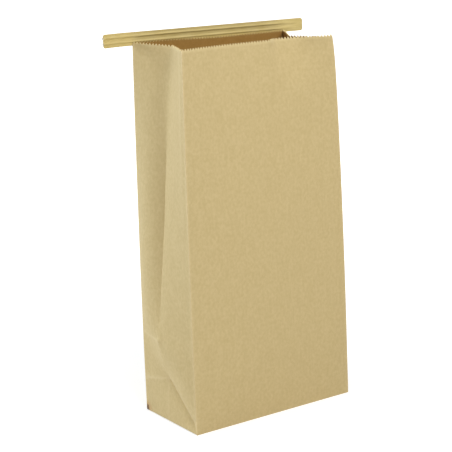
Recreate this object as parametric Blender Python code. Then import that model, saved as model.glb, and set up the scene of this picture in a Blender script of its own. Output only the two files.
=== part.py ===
"""A brown paper bag with side gussets, a folded block bottom, a serrated mouth
and a tin tie along the back of the mouth.

The bag stands on its base, with the front panel facing -Y and the tie at +Y.
The origin is the middle of the base, on the surface that it stands on.
All sizes are in metres.
"""
import math

import bmesh
import bpy
import numpy as np
from mathutils import Vector
from mathutils.geometry import delaunay_2d_cdt

# The folded sheet
WIDTH = 0.1220             # front panel, crease to crease
DEPTH = 0.0610             # gusset, crease to crease when flat
CREASE_SHARE = 0.463       # centre crease of a gusset, from its back crease
HEIGHT = 0.2413            # base to the tips of the teeth
PAPER = 0.00025            # one ply of the bag wall
TOOTH_PITCH = 0.00228
TOOTH_DEPTH = 0.0014
FLAP_OVERLAP = 0.018       # how far the two long base flaps lie over each other
LAP_WIDTH = 0.013          # glued lap that closes the tube, down the back panel
LAP_EDGE = 0.040           # free edge of the lap, from the back left crease
LAP_EASE = 0.006           # over this width the lap's ply comes back to the panel

# The creases of the block bottom
FOLD_HEIGHT = 0.023        # fold line across the back panel
NODE_HEIGHT = 0.029        # where it meets the centre crease of a gusset
NODE_OUT = 0.0003          # that point stands out from the flat gusset
FOLD_IN = 0.0008           # the fold line dips into the back panel
FOLD_EASE = 0.050          # and is gone this far above it
RIDGE_HEIGHT = 0.0555      # where the centre crease turns from valley to ridge
RIDGE_OUT = 0.0057         # that point stands out from the flat gusset
BOW_HIGH = (0.72, 0.78, 0.74)  # two points of the ridge's bow to the front corner,
BOW_LOW = (0.88, 0.53, 0.38)   # as shares of DEPTH, RIDGE_HEIGHT and RIDGE_OUT

# The open mouth
TUCK_IN = 0.0126           # centre crease of a gusset behind its edges
GUSSET_BULGE = 0.0042      # the back half of a gusset curves outwards
BULGE_LOW = 0.6            # under 1 moves the bulge's middle down
MOUTH_SAG = 0.0068         # the front panel hollows in at the mouth
SAG_POWER = 5.0            # how fast the hollow fades downwards
DENT_IN = 0.0075           # a dent in the front panel's rim, deeper still
DENT_CORNER = 0.005        # from the front right crease to the dent
DENT_WIDTH = 0.044
DENT_SLOPE = 0.021         # width of its gentle right flank
DENT_STEEP = 0.011         # width of its steep left flank
DENT_REACH = 0.036         # it fades out this far below the mouth
DENT_POWER = 1.5           # how fast it fades
CORNER_LEAN = {            # where the mouth's corners stand, from square, and how
    # fast their lean fades downwards
    "front_left": (0.0022, -0.0012, 1.6),
    "front_right": (-0.0047, 0.0, 2.3),
    "back_left": (0.0046, -0.0005, 1.6),
    "back_right": (-0.0001, -0.0007, 1.6),
}

# The tin tie
TIE_LENGTH = 0.1556
TIE_HEIGHT = 0.0085
TIE_PLY = 0.00018          # one ply of the strip's paper
TIE_OFFSET = -0.0005       # middle of the strip, from the middle of the bag
TIE_BELOW_RIM = 0.0013     # glued depth, below the tips of the teeth
TIE_ASKEW = 0.0008         # the left end sits this much higher than the right
TIE_GLUE_GAP = 0.0003
TIE_END_RADIUS = 0.0016
TIE_FREE_LEFT = 0.019      # the left end bends forward over this length
TIE_BEND = 0.0030          # and by this much at its tip
WIRE_DIAMETER = 0.0007
WIRE_CLEARANCE = 0.0002
WIRE_SPACING = 0.0034      # between the two wires
WIRE_RECESS = 0.0002       # the wires end this far inside the strip

# Fineness of the faceted surfaces
COLUMN = 0.0085
ROW = 0.0100
CREASE_STEP = 0.0060
CLEAR_OF_CREASE = 0.0025   # no free grid point lies closer to a crease
WIRE_SIDES = 10

FLOOR_TOP = 3 * PAPER      # the folded ends and two flaps lie on each other
HALF_W = WIDTH / 2
HALF_D = DEPTH / 2
RIM_FOOT = HEIGHT - TOOTH_DEPTH
GUSSET_PITCH = DEPTH / round(DEPTH / TOOTH_PITCH)
CREASE_AT = (round(CREASE_SHARE * DEPTH / GUSSET_PITCH - 0.5) + 0.5) * GUSSET_PITCH
SIDES = {"left": -1.0, "right": 1.0, "front": -1.0, "back": 1.0}


def clear_scene():
    for old in list(bpy.data.objects):
        bpy.data.objects.remove(old, do_unlink=True)


def material(name, rgb, roughness, metallic=0.0):
    """A Principled material; the colour is linear RGB."""
    mat = bpy.data.materials.new(name)
    mat.use_nodes = True
    shader = mat.node_tree.nodes["Principled BSDF"]
    shader.inputs["Base Color"].default_value = (*rgb, 1.0)
    shader.inputs["Roughness"].default_value = roughness
    shader.inputs["Metallic"].default_value = metallic
    return mat


def add_object(name, mesh, mat, smooth_below=math.radians(25)):
    mesh.materials.append(mat)
    mesh.shade_smooth()
    mesh.set_sharp_from_angle(angle=smooth_below)
    obj = bpy.data.objects.new(name, mesh)
    bpy.context.collection.objects.link(obj)
    return obj


# Form of the standing bag

def above_floor(z):
    """0 where the wall stands on the floor of the bag, 1 at the mouth."""
    return (z - FLOOR_TOP) / (HEIGHT - FLOOR_TOP)


def corner(end, side, z):
    """One of the four upright creases at height z, as x and y."""
    lean_x, lean_y, power = CORNER_LEAN[end + "_" + side]
    share = above_floor(z) ** power
    return np.array((SIDES[side] * HALF_W + lean_x * share,
                     SIDES[end] * HALF_D + lean_y * share))


def gusset_facets():
    """The flat facets of a gusset below its ridge.

    A point is its place from the back crease to the front one, its height and
    how far it stands out.
    """
    back_foot = (0.0, FLOOR_TOP, 0.0)
    middle_foot = (CREASE_AT, FLOOR_TOP, 0.0)
    front_foot = (DEPTH, FLOOR_TOP, 0.0)
    fold_end = (0.0, FOLD_HEIGHT, 0.0)
    node = (CREASE_AT, NODE_HEIGHT, NODE_OUT)
    ridge_end = (0.0, RIDGE_HEIGHT, 0.0)
    ridge_top = (CREASE_AT, RIDGE_HEIGHT, RIDGE_OUT)
    front_edge = (DEPTH, RIDGE_HEIGHT, 0.0)
    ridge_sizes = (DEPTH, RIDGE_HEIGHT, RIDGE_OUT)
    bow_high = tuple(share * size for share, size in zip(BOW_HIGH, ridge_sizes))
    bow_low = tuple(share * size for share, size in zip(BOW_LOW, ridge_sizes))
    facets = [
        (back_foot, middle_foot, node), (middle_foot, front_foot, node),
        (back_foot, node, fold_end), (fold_end, node, ridge_end),
        (node, ridge_top, ridge_end), (node, front_foot, bow_low),
        (node, bow_low, bow_high), (node, bow_high, ridge_top),
        (front_foot, front_edge, bow_low), (bow_low, front_edge, bow_high),
        (bow_high, front_edge, ridge_top),
    ]
    creases = [
        [fold_end, node, front_foot],
        [ridge_end, ridge_top, bow_high, bow_low, front_foot],
    ]
    return facets, creases


FACETS, GUSSET_CREASES = gusset_facets()


def facet_height(across, z):
    """Height of the facets over the flat gusset, by barycentric weights."""
    best = None
    for a, b, c in FACETS:
        area = (b[0] - a[0]) * (c[1] - a[1]) - (c[0] - a[0]) * (b[1] - a[1])
        wb = ((across - a[0]) * (c[1] - a[1]) - (c[0] - a[0]) * (z - a[1])) / area
        wc = ((b[0] - a[0]) * (z - a[1]) - (across - a[0]) * (b[1] - a[1])) / area
        inside = min(wb, wc, 1 - wb - wc)
        if best is None or inside > best[0]:
            best = (inside, a[2] + wb * (b[2] - a[2]) + wc * (c[2] - a[2]))
    return best[1]


def gusset_out(across, z):
    """How far a side gusset stands out from the line between its creases."""
    if z <= RIDGE_HEIGHT:
        return facet_height(across, z)
    rise = min(1.0, (z - RIDGE_HEIGHT) / (HEIGHT - RIDGE_HEIGHT))
    middle = RIDGE_OUT - (RIDGE_OUT + TUCK_IN) * rise
    if across > CREASE_AT:
        return middle * (DEPTH - across) / (DEPTH - CREASE_AT)
    share = across / CREASE_AT
    bulge = GUSSET_BULGE * math.sin(math.pi * rise ** BULGE_LOW)
    return middle * share + bulge * math.sin(math.pi * share)


def eased(value):
    """0 below 0, 1 above 1 and a smooth step between them."""
    value = min(1.0, max(0.0, value))
    return value * value * (3 - 2 * value)


def front_out(across, z):
    """The front panel is flat below and hollows in towards the mouth."""
    share = min(1.0, max(0.0, across / WIDTH))
    hollow = MOUTH_SAG * math.sin(math.pi * share) * above_floor(z) ** SAG_POWER
    from_right = WIDTH - DENT_CORNER - across
    flanks = eased(from_right / DENT_SLOPE) * eased(
        (DENT_WIDTH - from_right) / DENT_STEEP)
    near_rim = max(0.0, 1 - (HEIGHT - z) / DENT_REACH)
    return -hollow - DENT_IN * flanks * near_rim ** DENT_POWER


def back_out(across, z):
    """The back panel is straight but for its fold line, a shallow valley."""
    share = min(1.0, max(0.0, across / WIDTH))
    if z < FOLD_HEIGHT:
        dip = (z - FLOOR_TOP) / (FOLD_HEIGHT - FLOOR_TOP)
    else:
        dip = max(0.0, 1 - (z - FOLD_HEIGHT) / FOLD_EASE)
    return -FOLD_IN * dip * math.sqrt(math.sin(math.pi * share))


def lap_lift(across, z):
    """The lap's ply lies one paper thickness proud of the back panel."""
    full_until = LAP_EDGE + LAP_WIDTH
    rise = (across - LAP_EDGE) / PAPER
    fall = 1 - (across - full_until) / LAP_EASE
    foot = (z - FLOOR_TOP) / LAP_EASE
    return PAPER * max(0.0, min(1.0, rise, fall, foot))


LAP_COLUMNS = (LAP_EDGE, LAP_EDGE + PAPER, LAP_EDGE + LAP_WIDTH,
               LAP_EDGE + LAP_WIDTH + LAP_EASE)
PANELS = {
    # name: start corner, end corner, flat width, form, +1 where the outside is
    # on the right hand of start to end
    "front": (("front", "left"), ("front", "right"), WIDTH, front_out, 1),
    "left": (("back", "left"), ("front", "left"), DEPTH, gusset_out, 1),
    "right": (("back", "right"), ("front", "right"), DEPTH, gusset_out, -1),
    "back": (("back", "left"), ("back", "right"), WIDTH, back_out, -1),
}


def panel_point(panel, across, z):
    """A point of the flat panel on the outside of the standing bag."""
    start, end, width, form, hand = PANELS[panel]
    a = corner(*start, z)
    b = corner(*end, z)
    chord = b - a
    outward = hand * np.array((chord[1], -chord[0])) / np.hypot(*chord)
    share = across / width
    if not 0 < round(share, 6) < 1:
        x, y = b if share > 0.5 else a
    else:
        x, y = a + chord * share + outward * form(across, z)
    return np.array((x, y, z)), np.array((*outward, 0.0))


# The flat pattern of a panel, cut into triangles along its creases

def rim_height(across, width):
    """Height of the serrated edge above a place on the panel."""
    pitch = width / round(width / TOOTH_PITCH)
    phase = (across / pitch) % 1.0
    return RIM_FOOT + TOOTH_DEPTH * (1 - abs(2 * phase - 1))


def rim_stations(width, extra):
    """The serrated edge of a panel, from crease to crease.

    It has points at the foot and the tip of each tooth and at the extra places.
    """
    teeth = round(width / TOOTH_PITCH)
    places = {round(k * width / teeth / 2, 9) for k in range(2 * teeth + 1)}
    places.update(round(place, 9) for place in extra)
    return [(place, rim_height(place, width)) for place in sorted(places)]


def sampled(start, end, step):
    """Points along a straight crease, both ends included."""
    count = max(1, round(math.dist(start, end) / step))
    return [tuple(np.add(start, np.subtract(end, start) * k / count))
            for k in range(count + 1)]


def grid_rows():
    """Heights shared by all panels, so that they meet at the upright creases."""
    count = round((RIM_FOOT - FLOOR_TOP) / ROW)
    regular = np.linspace(FLOOR_TOP, RIM_FOOT, count + 1)
    fixed = (FOLD_HEIGHT, NODE_HEIGHT, RIDGE_HEIGHT)
    rows = [z for z in regular
            if all(abs(z - f) > ROW / 3 for f in fixed)]
    return sorted({round(z, 9) for z in (*rows, *fixed)})


def crease_lines(panel, rows):
    """Inner crease lines of a panel as lists of points (across, height)."""
    lines = []
    if panel in ("left", "right"):
        lines.append([(CREASE_AT, z) for z in rows])
        for crease in GUSSET_CREASES:
            points = [(across, z) for across, z, _ in crease]
            for start, end in zip(points, points[1:]):
                lines.append(sampled(start, end, CREASE_STEP))
    if panel == "back":
        lines.append(sampled((0.0, FOLD_HEIGHT), (WIDTH, FOLD_HEIGHT), COLUMN))
        for across in LAP_COLUMNS:
            lines.append([(across, z) for z in rows])
    return lines


def distance_to(line, point):
    """Distance from a point to a polyline, both in the flat pattern."""
    best = 1.0
    for a, b in zip(line, line[1:]):
        a, b, p = (np.array(v) for v in (a, b, point))
        along = np.clip(np.dot(p - a, b - a) / np.dot(b - a, b - a), 0, 1)
        best = min(best, float(np.hypot(*(p - a - along * (b - a)))))
    return best


def flat_pattern(panel, rows):
    """Triangulate one flat panel; returns its points and triangles."""
    width = PANELS[panel][2]
    lines = crease_lines(panel, rows)
    rim = rim_stations(width, LAP_COLUMNS if panel == "back" else ())
    columns = round(width / COLUMN)
    foot = [(width * k / columns, rows[0]) for k in range(columns + 1)]
    borders = [foot, rim, [(0.0, z) for z in rows], [(width, z) for z in rows]]

    points = []
    edges = []
    index = {}

    def point_id(point):
        key = (round(point[0], 7), round(point[1], 7))
        if key not in index:
            index[key] = len(points)
            points.append(Vector(key))
        return index[key]

    for line in borders + lines:
        ids = [point_id(p) for p in line]
        edges += [pair for pair in zip(ids, ids[1:]) if pair[0] != pair[1]]
    for k, z in enumerate(rows[1:-1]):
        shift = (k % 2) / 2
        for j in range(1, columns + 1):
            place = (width * (j - shift) / columns, z)
            if 0 < place[0] < width and all(
                    distance_to(line, place) > CLEAR_OF_CREASE
                    for line in borders + lines):
                point_id(place)
    flat, _, faces, *_ = delaunay_2d_cdt(points, edges, [], 0, 1e-7)
    triangles = []
    for face in faces:
        a, b, c = (flat[i] for i in face)
        middle = (a + b + c) / 3
        if middle[1] < rim_height(middle[0], width):
            turn = (b - a).cross(c - a)
            triangles.append(face if turn > 0 else face[::-1])
    return flat, triangles


# The folded sheet as one closed body

def outer_wall():
    """Fold the four flat panels up and join them along the upright creases."""
    rows = grid_rows()
    points = []
    lifts = []
    triangles = []
    index = {}
    for panel, (_, _, _, _, hand) in PANELS.items():
        flat, faces = flat_pattern(panel, rows)
        ids = []
        for across, z in flat:
            point, outward = panel_point(panel, across, z)
            key = tuple(np.round(point, 6))
            if key not in index:
                index[key] = len(points)
                points.append(point)
                lifts.append(np.zeros(3))
            if panel == "back":
                lifts[index[key]] = outward * lap_lift(across, z)
            ids.append(index[key])
        for face in faces:
            turned = [ids[i] for i in face]
            triangles.append(turned if hand > 0 else turned[::-1])
    return np.array(points), np.array(lifts), np.array(triangles)


def inner_offsets(points, triangles):
    """Step from each outer point to the inner face, square to its facets."""
    a, b, c = (points[triangles[:, k]] for k in range(3))
    normals = np.cross(b - a, c - a)
    normals /= np.linalg.norm(normals, axis=1)[:, None]
    around = [[] for _ in points]
    for triangle, normal in zip(triangles, normals):
        for i in triangle:
            around[i].append(normal)
    offsets = np.zeros_like(points)
    for i, found in enumerate(around):
        depths = np.full(len(found), -PAPER)
        offsets[i] = np.linalg.lstsq(np.array(found), depths, rcond=0.2)[0]
    on_floor = np.isclose(points[:, 2], FLOOR_TOP)
    offsets[on_floor, 2] = 0.0
    return offsets


class Shell:
    """Faces given by their corner points, joined where points coincide."""

    def __init__(self):
        self.mesh = bmesh.new()
        self.found = {}

    def vertex(self, point):
        key = tuple(round(float(c), 8) for c in point)
        if key not in self.found:
            self.found[key] = self.mesh.verts.new(key)
        return self.found[key]

    def face(self, *corners):
        self.mesh.faces.new([self.vertex(p) for p in corners])

    def finish(self, name):
        bmesh.ops.recalc_face_normals(self.mesh, faces=self.mesh.faces)
        mesh = bpy.data.meshes.new(name)
        self.mesh.to_mesh(mesh)
        self.mesh.free()
        return mesh


def boundary_edges(triangles):
    """Edges that belong to one triangle only, in that triangle's order."""
    count = {}
    for triangle in triangles:
        for i, j in zip(triangle, np.roll(triangle, -1)):
            key = frozenset((int(i), int(j)))
            count[key] = None if key in count else (int(i), int(j))
    return [edge for edge in count.values() if edge is not None]


def add_walls(shell):
    """Both faces of the paper wall and its serrated cut edge.

    Returns the outer and the inner points round the foot of the wall.
    """
    points, lifts, triangles = outer_wall()
    inner = points + inner_offsets(points, triangles)
    outer = points + lifts
    for i, j, k in triangles:
        shell.face(outer[i], outer[j], outer[k])
        shell.face(inner[i], inner[k], inner[j])
    for i, j in boundary_edges(triangles):
        if points[i][2] > HEIGHT / 2:
            shell.face(outer[i], inner[i], inner[j], outer[j])
    foot = [i for i, p in enumerate(points) if abs(p[2] - FLOOR_TOP) < 1e-7]
    foot.sort(key=lambda i: math.atan2(points[i][1], points[i][0]))
    return [outer[i] for i in foot], [inner[i] for i in foot]


def side_of(foot, axis, sign):
    """The foot points on one straight side, in order along it."""
    limit = (HALF_W, HALF_D)[axis]
    chosen = [p for p in foot if abs(p[axis] - sign * limit) < 1e-6]
    return sorted(chosen, key=lambda p: p[1 - axis])


def add_base(shell, foot, floor):
    """The block bottom: folded-in ends under two long flaps, front one last.

    The front flap lies lowest, the back flap one paper thickness above it and
    the triangles of the folded-in ends above both.
    """
    front_level, back_level, end_level = 0.0, PAPER, 2 * PAPER
    reach = HALF_D + FLAP_OVERLAP / 2
    shell.face(*floor)

    def at(x, y, z):
        return np.array((x, y, z))

    def both(x, y, *levels):
        return [at(x, y, z) for z in levels]

    front = side_of(foot, 1, -1)
    back = side_of(foot, 1, 1)
    shell.face(*front, *both(HALF_W, -HALF_D, end_level, front_level),
               *both(-HALF_W, -HALF_D, front_level, end_level))
    shell.face(*back, *both(HALF_W, HALF_D, end_level, back_level),
               *both(-HALF_W, HALF_D, back_level, end_level))
    for sign in (-1, 1):
        x = sign * HALF_W
        shell.face(*side_of(foot, 0, sign), at(x, HALF_D, end_level),
                   at(x, -HALF_D, end_level))
        tip = sign * (HALF_W - HALF_D)
        notch = sign * (HALF_W - reach)
        shell.face(at(x, -HALF_D, end_level), at(x, HALF_D, end_level),
                   at(tip, 0, end_level))
        shell.face(*both(x, -HALF_D, end_level, front_level),
                   *both(tip, 0, front_level, back_level, end_level))
        shell.face(*both(x, HALF_D, end_level, back_level),
                   *both(tip, 0, back_level, end_level))
        shell.face(*both(tip, 0, back_level, front_level),
                   *both(notch, reach - HALF_D, front_level, back_level))
    left, right = HALF_W - reach, reach - HALF_W
    free = reach - HALF_D
    shell.face(*both(right, free, back_level, front_level),
               *both(left, free, front_level, back_level))
    for level, y in ((front_level, -HALF_D), (back_level, HALF_D)):
        shell.face(at(-HALF_W, y, level), at(HALF_W, y, level),
                   at(HALF_W - HALF_D, 0, level), at(left, free, level),
                   at(right, free, level), at(HALF_D - HALF_W, 0, level))


def build_paper_bag(mat):
    shell = Shell()
    foot, floor = add_walls(shell)
    add_base(shell, foot, floor)
    return add_object("paper_bag", shell.finish("paper_bag"), mat)


# The tin tie

TIE_HALF_FLAT = TIE_PLY    # two plies lie on each other between the wires
CHANNEL_RADIUS = WIRE_DIAMETER / 2 + WIRE_CLEARANCE
RIDGE_RADIUS = CHANNEL_RADIUS + TIE_PLY
TIE_MIDDLE_Z = HEIGHT - TIE_BELOW_RIM + TIE_HEIGHT / 2
TIE_START = TIE_OFFSET - TIE_LENGTH / 2
TIE_END = TIE_OFFSET + TIE_LENGTH / 2


def tie_path(x):
    """Middle of the strip at x and the direction across it."""
    left = corner("back", "left", HEIGHT)
    right = corner("back", "right", HEIGHT)
    slope = (right[1] - left[1]) / (right[0] - left[0])
    y = left[1] + slope * (x - left[0]) + PAPER + TIE_GLUE_GAP + TIE_HALF_FLAT
    free = max(0.0, TIE_START + TIE_FREE_LEFT - x) / TIE_FREE_LEFT
    y -= TIE_BEND * free ** 2
    slope += 2 * TIE_BEND * free / TIE_FREE_LEFT
    across = np.array((-slope, 1.0, 0.0))
    z = TIE_MIDDLE_Z - TIE_ASKEW * (x - TIE_OFFSET) / TIE_LENGTH
    return np.array((x, y, z)), across / np.linalg.norm(across)


def tie_stations(recess=0.0):
    """Places along the strip: close where an end is round or it bends."""
    quarter = [TIE_END_RADIUS * (1 - math.cos(math.radians(a)))
               for a in range(0, 91, 18)]
    bend = [TIE_FREE_LEFT * k / 5 for k in range(1, 6)]
    starts = [TIE_START + recess + s for s in quarter]
    places = starts + [TIE_START + b for b in bend if b > quarter[-1] + recess]
    ends = [TIE_END - recess - s for s in reversed(quarter)]
    middle = [places[-1] + (ends[0] - places[-1]) * k / 4 for k in range(1, 4)]
    return places + middle + ends


def strip_section(x):
    """Outline of the strip at x: thickness outwards and height."""
    from_end = min(x - TIE_START, TIE_END - x)
    inset = max(0.0, TIE_END_RADIUS - from_end)
    half = TIE_HEIGHT / 2 - TIE_END_RADIUS + math.sqrt(
        max(0.0, TIE_END_RADIUS ** 2 - inset ** 2))
    foot = math.sqrt(RIDGE_RADIUS ** 2 - TIE_HALF_FLAT ** 2)
    heights = []
    for middle in (-WIRE_SPACING / 2, WIRE_SPACING / 2):
        heights += [middle + foot * math.sin(math.radians(a))
                    for a in range(-90, 91, 30)]
    profile = [(TIE_HALF_FLAT, -half)]
    for h in heights:
        from_wire = min(abs(h - WIRE_SPACING / 2), abs(h + WIRE_SPACING / 2))
        thick = math.sqrt(max(TIE_HALF_FLAT ** 2, RIDGE_RADIUS ** 2 - from_wire ** 2))
        profile.append((thick, h))
    profile.append((TIE_HALF_FLAT, half))
    return profile + [(-t, h) for t, h in reversed(profile)]


def ring_section(radius, height):
    return [(radius * math.cos(2 * math.pi * k / WIRE_SIDES),
             height + radius * math.sin(2 * math.pi * k / WIRE_SIDES))
            for k in range(WIRE_SIDES)]


def loft(name, stations, section_at):
    """Skin a closed section along the path of the strip and cap its ends."""
    bm = bmesh.new()
    rings = []
    for x in stations:
        middle, across = tie_path(x)
        rings.append([bm.verts.new(middle + across * t + np.array((0, 0, h)))
                      for t, h in section_at(x)])
    for one, two in zip(rings, rings[1:]):
        for k in range(len(one)):
            n = (k + 1) % len(one)
            bm.faces.new((one[k], one[n], two[n], two[k]))
    bm.faces.new(rings[0])
    bm.faces.new(rings[-1])
    bmesh.ops.recalc_face_normals(bm, faces=bm.faces)
    mesh = bpy.data.meshes.new(name)
    bm.to_mesh(mesh)
    bm.free()
    return mesh


def build_tie_wrap(mat):
    """The paper strip, with an open channel for each wire."""
    wrap = add_object("tie_wrap", loft("tie_wrap", tie_stations(), strip_section), mat)
    for side in (-1, 1):
        height = side * WIRE_SPACING / 2
        stations = tie_stations()
        stations = [TIE_START - PAPER] + stations[1:-1] + [TIE_END + PAPER]
        cutter_mesh = loft("channel", stations,
                           lambda x: ring_section(CHANNEL_RADIUS, height))
        cutter = bpy.data.objects.new("channel", cutter_mesh)
        bpy.context.collection.objects.link(cutter)
        cutter.hide_render = True
        cutter.display_type = "WIRE"
        cut = wrap.modifiers.new("wire channel", "BOOLEAN")
        cut.operation = "DIFFERENCE"
        cut.solver = "EXACT"
        cut.object = cutter
    return wrap


def build_tie_wires(mat):
    for name, side in (("tie_wire_lower", -1), ("tie_wire_upper", 1)):
        height = side * WIRE_SPACING / 2
        mesh = loft(name, tie_stations(WIRE_RECESS),
                    lambda x: ring_section(WIRE_DIAMETER / 2, height))
        add_object(name, mesh, mat, math.radians(50))


def main():
    clear_scene()
    kraft = material("kraft paper", (0.56, 0.44, 0.215), 0.85)
    strip = material("golden kraft strip", (0.60, 0.45, 0.15), 0.6)
    steel = material("soft steel wire", (0.55, 0.55, 0.56), 0.35, 1.0)
    build_paper_bag(kraft)
    build_tie_wrap(strip)
    build_tie_wires(steel)


main()
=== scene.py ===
"""Looks of the brown paper bag with a tin tie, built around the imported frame.

The bag's sheet is folded again here from its flat pattern, as in the solids,
but finely enough to show each tooth, soft creases and the paper's unevenness.
All sizes are in metres, in the frame's own coordinates.
"""

import math

import bmesh
import bpy
import numpy as np
from mathutils import Matrix, Vector, noise
from mathutils.geometry import delaunay_2d_cdt


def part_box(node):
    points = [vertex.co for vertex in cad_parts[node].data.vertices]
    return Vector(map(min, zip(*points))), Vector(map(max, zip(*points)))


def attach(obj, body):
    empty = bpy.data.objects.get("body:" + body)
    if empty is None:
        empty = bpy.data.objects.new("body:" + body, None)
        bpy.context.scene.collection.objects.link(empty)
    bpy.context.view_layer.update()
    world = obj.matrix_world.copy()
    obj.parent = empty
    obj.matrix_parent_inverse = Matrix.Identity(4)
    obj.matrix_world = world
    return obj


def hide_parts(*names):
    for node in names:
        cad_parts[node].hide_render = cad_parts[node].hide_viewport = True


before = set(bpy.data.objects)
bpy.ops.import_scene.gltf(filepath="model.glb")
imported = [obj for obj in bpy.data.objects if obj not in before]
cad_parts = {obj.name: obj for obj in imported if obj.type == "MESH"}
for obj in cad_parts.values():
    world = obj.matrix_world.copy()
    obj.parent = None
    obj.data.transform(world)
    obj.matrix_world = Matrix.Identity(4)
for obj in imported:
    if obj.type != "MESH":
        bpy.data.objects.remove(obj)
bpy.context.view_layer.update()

# The folded sheet, as in the solids
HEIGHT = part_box("paper_bag")[1][2]
WIDTH = 0.1220             # front panel, crease to crease
DEPTH = 0.0610             # gusset, crease to crease when flat
CREASE_SHARE = 0.463       # centre crease of a gusset, from its back crease
PAPER = 0.00025            # one ply of the bag wall
TOOTH_PITCH = 0.00228
TOOTH_DEPTH = 0.0014
FLAP_OVERLAP = 0.018       # how far the two long base flaps lie over each other
LAP_WIDTH = 0.013          # glued lap that closes the tube, down the back panel
LAP_EDGE = 0.040           # free edge of the lap, from the back left crease
LAP_EASE = 0.006           # over this width the lap's ply comes back to the panel

# The creases of the block bottom, as in the solids
FOLD_HEIGHT = 0.023        # fold line across the back panel
NODE_HEIGHT = 0.029        # where it meets the centre crease of a gusset
NODE_OUT = 0.0003          # that point stands out from the flat gusset
FOLD_IN = 0.0008           # the fold line dips into the back panel
FOLD_EASE = 0.050          # and is gone this far above it
RIDGE_HEIGHT = 0.0555      # where the centre crease turns from valley to ridge
RIDGE_OUT = 0.0057         # that point stands out from the flat gusset
BOW_HIGH = (0.72, 0.78, 0.74)  # two points of the ridge's bow to the front corner,
BOW_LOW = (0.88, 0.53, 0.38)   # as shares of DEPTH, RIDGE_HEIGHT and RIDGE_OUT

# The open mouth, as in the solids
TUCK_IN = 0.0126           # centre crease of a gusset behind its edges
GUSSET_BULGE = 0.0042      # the back half of a gusset curves outwards
BULGE_LOW = 0.6            # under 1 moves the bulge's middle down
MOUTH_SAG = 0.0068         # the front panel hollows in at the mouth
SAG_POWER = 5.0            # how fast the hollow fades downwards
DENT_IN = 0.0075           # a dent in the front panel's rim, deeper still
DENT_CORNER = 0.005        # from the front right crease to the dent
DENT_WIDTH = 0.044
DENT_SLOPE = 0.021         # width of its gentle right flank
DENT_STEEP = 0.011         # width of its steep left flank
DENT_REACH = 0.036         # it fades out this far below the mouth
DENT_POWER = 1.5           # how fast it fades
CORNER_LEAN = {            # where the mouth's corners stand, from square, and how
    # fast their lean fades downwards
    "front_left": (0.0022, -0.0012, 1.6),
    "front_right": (-0.0047, 0.0, 2.3),
    "back_left": (0.0046, -0.0005, 1.6),
    "back_right": (-0.0001, -0.0007, 1.6),
}

# The mouth's finer form
TOOTH_BEND = 0.00035       # single teeth lean in or out
TOOTH_NOISE_STEP = 1.7     # from one tooth to the next in the noise
TOOTH_NOISE_AT = (4.1, 0.3)
BACK_RISE = 0.0016         # the rim runs up to the back panel's left corner
RISE_FROM = 0.010          # the rise starts here along x
RISE_EASE = 0.050          # and is full this far to the left
RISE_POWER = 8.0           # how fast the rise and the dip fade downwards
RIM_DIP = 0.0012           # the front half of the right gusset's rim dips
DIP_FROM = 0.20            # shares of the gusset, from its back crease
DIP_EASE = 0.30            # the dip is full this share further on
DIP_END = 0.10             # and ends over this share before the front crease
CURL_IN = 0.0014           # the front right corner curls in at the mouth
CURL_REACH = 0.010         # and straightens over about this height below it

# The paper beside its creases
VALLEY_DEPTH = 0.0026      # the paper curves down into the pressed valleys
VALLEY_SPREAD = 0.0052
CENTRE_DEPTH = 0.0011      # and into the gusset's centre crease
CENTRE_SPREAD = 0.0045
CENTRE_EASE = 0.014        # which starts at the ridge and is full this far above
SHARP_UNTIL = 0.140        # and is softer above this height
SOFT_EASE = 0.060
RIDGE_LIFT = 0.00036       # the paper curves up to the small ridges
RIDGE_NARROW = 0.0013
TOP_RIDGE_SHARE = 0.8      # the upper ridge against the fold line's
FOOT_RIDGE_SHARE = 0.5     # and the one below the node
EDGE_ROLL = 0.0006         # a soft roll beside the front crease, near the mouth
EDGE_ROLL_AT = 0.0560
EDGE_ROLL_SPREAD = 0.0035
EDGE_ROLL_FROM = 0.5       # shares of the height where it starts
EDGE_ROLL_EASE = 0.25      # and how much further up it is full
RELIEF_FADE = 0.005        # the relief fades out towards a panel's edges
WEAR_AND_HIGHLIGHT_SPREAD = 0.0007       # the creases are paler: worn fibres, with a painted highlight where the folds catch light
BACK_FOLD_WEAR_AND_HIGHLIGHT = 0.8

# Unevenness of the paper
WAVE_LENGTH = 0.045
WAVE_DEPTH = 0.00035
WAVE_AT = (3.1, 0.7, 5.3)
COCKLE_LENGTH = 0.011
COCKLE_DEPTH = 0.00004
WAVE_FADE = 0.010          # it fades out towards a panel's edges

# Fineness of the folded sheet
COLUMN = 0.00165
ROW = 0.00155
CREASE_STEP = 0.0013
CLEAR_OF_CREASE = 0.0007   # no free grid point lies closer to a crease
SOFTEN_PASSES = 16
OFFSET_CUTOFF = 0.2        # weaker directions among the facets round a point don't count
SMOOTH_ANGLE = math.radians(30)
STATION_DIGITS = 9         # decimals for places along a line,
VERTEX_DIGITS = 8          # for points of the finished sheet,
PATTERN_DIGITS = 7         # for points of the flat pattern
SHARED_DIGITS = 6          # and for points that two panels share
SAME_PLACE = 1e-7          # points closer than this lie in one place
ON_SIDE = 1e-6             # and points closer to a side than this lie on it
FAR_AWAY = 1.0             # further than any crease is from any point

# The tin tie, as in the solids
TIE_LENGTH = 0.1556
TIE_HEIGHT = 0.0085
TIE_PLY = 0.00018          # one ply of the strip's paper
TIE_OFFSET = -0.0005       # middle of the strip, from the middle of the bag
TIE_BELOW_RIM = 0.0013     # glued depth, below the tips of the teeth
TIE_ASKEW = 0.0008         # the left end sits this much higher than the right
TIE_GLUE_GAP = 0.0003
TIE_END_RADIUS = 0.0016
TIE_FREE_LEFT = 0.019      # the left end bends forward over this length
TIE_BEND = 0.0030          # and by this much at its tip
WIRE_SPACING = 0.0034      # between the two wires

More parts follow.
